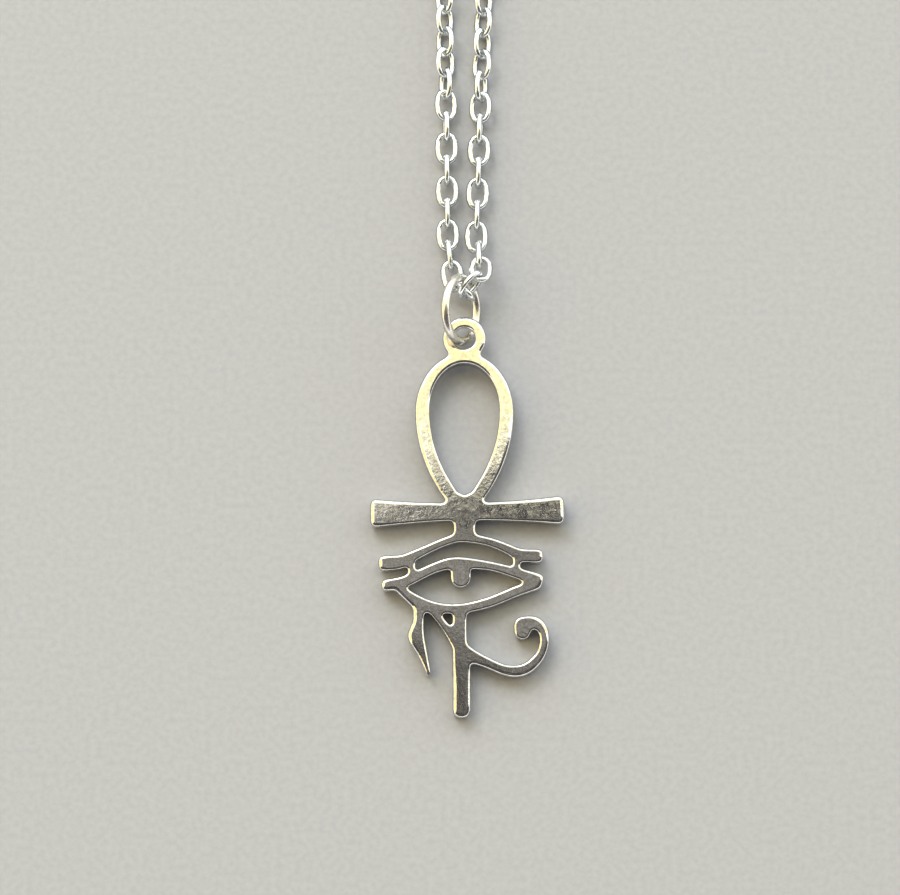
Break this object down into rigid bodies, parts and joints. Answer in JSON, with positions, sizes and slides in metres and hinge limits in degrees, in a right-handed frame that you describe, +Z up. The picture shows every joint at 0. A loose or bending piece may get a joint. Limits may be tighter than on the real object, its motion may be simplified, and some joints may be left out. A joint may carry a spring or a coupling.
{
  "type": "ankh pendant on a chain necklace",
  "caption": "Cast ankh pendant with an open-work eye below its crossbar, on a jump ring and a whole cable chain necklace.",
  "frame": {"origin": "middle of the whole necklace's box, on the surface that it lies on", "axes": "+Y from the pendant's foot towards the clasp, +X to the pendant's right as seen from above, +Z up out of the surface"},
  "size_m": [0.1178, 0.2152, 0.0065],
  "materials": {
    "cast_metal": "cast stainless steel, tumbled and polished to a soft mirror",
    "ring_wire": "drawn round steel wire, polished",
    "chain_wire": "drawn steel wire links, bright polished"
  },
  "bodies": {
    "root": {"pendant": "cast_metal", "jump_ring": "ring_wire", "chain_links_a": "chain_wire", "chain_links_b": "chain_wire", "clasp": "chain_wire"}
  },
  "joints": []
}
